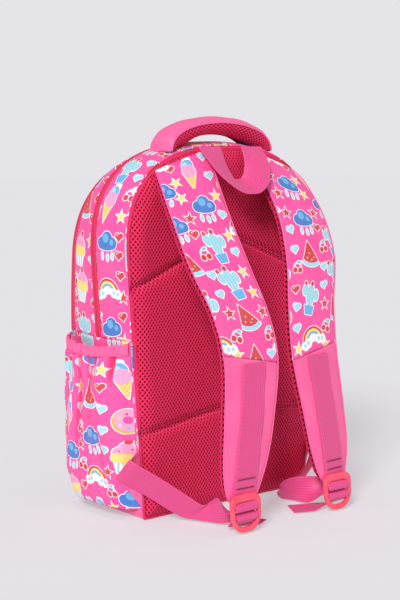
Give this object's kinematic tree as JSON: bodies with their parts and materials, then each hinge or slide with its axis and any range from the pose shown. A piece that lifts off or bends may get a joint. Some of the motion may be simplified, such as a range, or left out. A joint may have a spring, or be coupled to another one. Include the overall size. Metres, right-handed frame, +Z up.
{
  "type": "school backpack",
  "caption": "Child's school backpack with padded mesh back, two curved padded straps, carry handle, hang loop, side pockets, front pocket and zipped front flap.",
  "frame": {"origin": "centre of the whole object's box, on the floor it stands on", "axes": "+Z up, +Y out of the back pad towards the wearer, +X to the wearer's right; pieces named left are at +X, the left of someone looking at the straps"},
  "size_m": [0.2904, 0.2468, 0.4219],
  "materials": {
    "print": "hot pink printed polyester with small sweets, fruit, stars and hearts",
    "air_mesh": "raspberry 3D spacer mesh",
    "plain": "plain hot pink polyester",
    "webbing": "pink ribbed polypropylene webbing",
    "zip": "crimson nylon coil zip",
    "lining": "thin pink polyester lining",
    "foam": "soft PE foam",
    "board": "thin PE stiffener sheet",
    "buckle": "moulded coral pink plastic",
    "slider_metal": "painted zinc zip slider"
  },
  "bodies": {
    "root": {"back_cover": "air_mesh", "back_foam": "foam", "back_board": "board", "rear_gusset": "print", "main_zip_rear_tape": "zip", "side_wall_left": "print", "side_wall_right": "print", "lower_front_wall": "print", "base_panel": "plain", "base_board": "board", "inner_sleeve": "lining", "side_pocket_left": "print", "side_pocket_right": "print", "side_pocket_binding_left": "plain", "side_pocket_binding_right": "plain", "front_pocket": "print", "front_pocket_zip": "zip", "strap_tab_left": "plain", "strap_tab_right": "plain", "lower_webbing_left": "webbing", "lower_webbing_right": "webbing"},
    "flap": {"mid_gusset": "print", "main_zip_front_tape": "zip", "front_zip": "zip", "front_panel": "print", "compartment_divider": "lining"},
    "low_slider": {"main_slider_low": "slider_metal"},
    "low_pull": {"main_slider_low_pull": "slider_metal"},
    "high_slider": {"main_slider_high": "slider_metal"},
    "high_pull": {"main_slider_high_pull": "slider_metal"},
    "compartment_slider": {"front_slider": "slider_metal"},
    "compartment_pull": {"front_slider_pull": "slider_metal"},
    "pocket_runner": {"pocket_slider": "slider_metal"},
    "pocket_pull": {"pocket_slider_pull": "slider_metal"},
    "handle": {"handle_cover": "plain", "handle_foam": "foam", "handle_mesh": "air_mesh"},
    "loop": {"hang_loop": "webbing"},
    "strap_left": {"strap_cover_left": "print", "strap_lower_cover_left": "plain", "strap_foam_left": "foam", "strap_mesh_left": "air_mesh", "strap_webbing_left": "webbing"},
    "buckle_left": {"ladder_lock_left": "buckle", "webbing_tail_left": "webbing"},
    "strap_right": {"strap_cover_right": "print", "strap_lower_cover_right": "plain", "strap_foam_right": "foam", "strap_mesh_right": "air_mesh", "strap_webbing_right": "webbing"},
    "buckle_right": {"ladder_lock_right": "buckle", "webbing_tail_right": "webbing"}
  },
  "joints": [
    {"name": "flap_fold", "type": "hinge", "parent": "root", "child": "flap", "pos_m": [0, -0.10921, 0.1895], "axis": [1, 0, 0], "range_deg": [0, 60]},
    {"name": "main_zip_low_run", "type": "slide", "parent": "root", "child": "low_slider", "axis": [-0.0536, -0.0204, 0.9984], "range_m": [-0.014, 0]},
    {"name": "main_zip_low_pull_swing", "type": "hinge", "parent": "low_slider", "child": "low_pull", "pos_m": [-0.1429, -0.03938, 0.22454], "axis": [0, 1, 0], "range_deg": [0, 120]},
    {"name": "main_zip_high_run", "type": "slide", "parent": "root", "child": "high_slider", "axis": [-0.0536, -0.0204, 0.9984], "range_m": [0, 0.024]},
    {"name": "main_zip_high_pull_swing", "type": "hinge", "parent": "high_slider", "child": "high_pull", "pos_m": [-0.14488, -0.04014, 0.26154], "axis": [0, 1, 0], "range_deg": [0, 120]},
    {"name": "front_zip_run", "type": "slide", "parent": "flap", "child": "compartment_slider", "axis": [-0.0589, 0.126, 0.9903], "range_m": [-0.01, 0.042]},
    {"name": "front_zip_pull_swing", "type": "hinge", "parent": "compartment_slider", "child": "compartment_pull", "pos_m": [-0.13312, -0.09563, 0.23714], "axis": [0, 1, 0], "range_deg": [0, 120]},
    {"name": "pocket_zip_run", "type": "slide", "parent": "root", "child": "pocket_runner", "axis": [1, 0, 0], "range_m": [0, 0.11]},
    {"name": "pocket_zip_pull_swing", "type": "hinge", "parent": "pocket_runner", "child": "pocket_pull", "pos_m": [-0.0618, -0.11219, 0.1721], "axis": [0, 1, 0], "range_deg": [0, 75]},
    {"name": "handle_tilt", "type": "hinge", "parent": "root", "child": "handle", "pos_m": [0, -0.0093, 0.39], "axis": [1, 0, 0], "range_deg": [-12, 12], "stiffness_Nm_per_rad": 0.12},
    {"name": "hang_loop_swing", "type": "hinge", "parent": "root", "child": "loop", "pos_m": [0, 0.0207, 0.3905], "axis": [1, 0, 0], "range_deg": [-6, 95]},
    {"name": "strap_swing_left", "type": "hinge", "parent": "root", "child": "strap_left", "pos_m": [0, 0.0127, 0.388], "axis": [1, 0, 0], "range_deg": [0, 6]},
    {"name": "buckle_swing_left", "type": "hinge", "parent": "strap_left", "child": "buckle_left", "pos_m": [0, 0.1207, 0.0375], "axis": [1, 0, 0], "range_deg": [0, 30]},
    {"name": "strap_swing_right", "type": "hinge", "parent": "root", "child": "strap_right", "pos_m": [0, 0.0127, 0.388], "axis": [1, 0, 0], "range_deg": [0, 6]},
    {"name": "buckle_swing_right", "type": "hinge", "parent": "strap_right", "child": "buckle_right", "pos_m": [0, 0.1207, 0.0375], "axis": [1, 0, 0], "range_deg": [0, 30]}
  ]
}
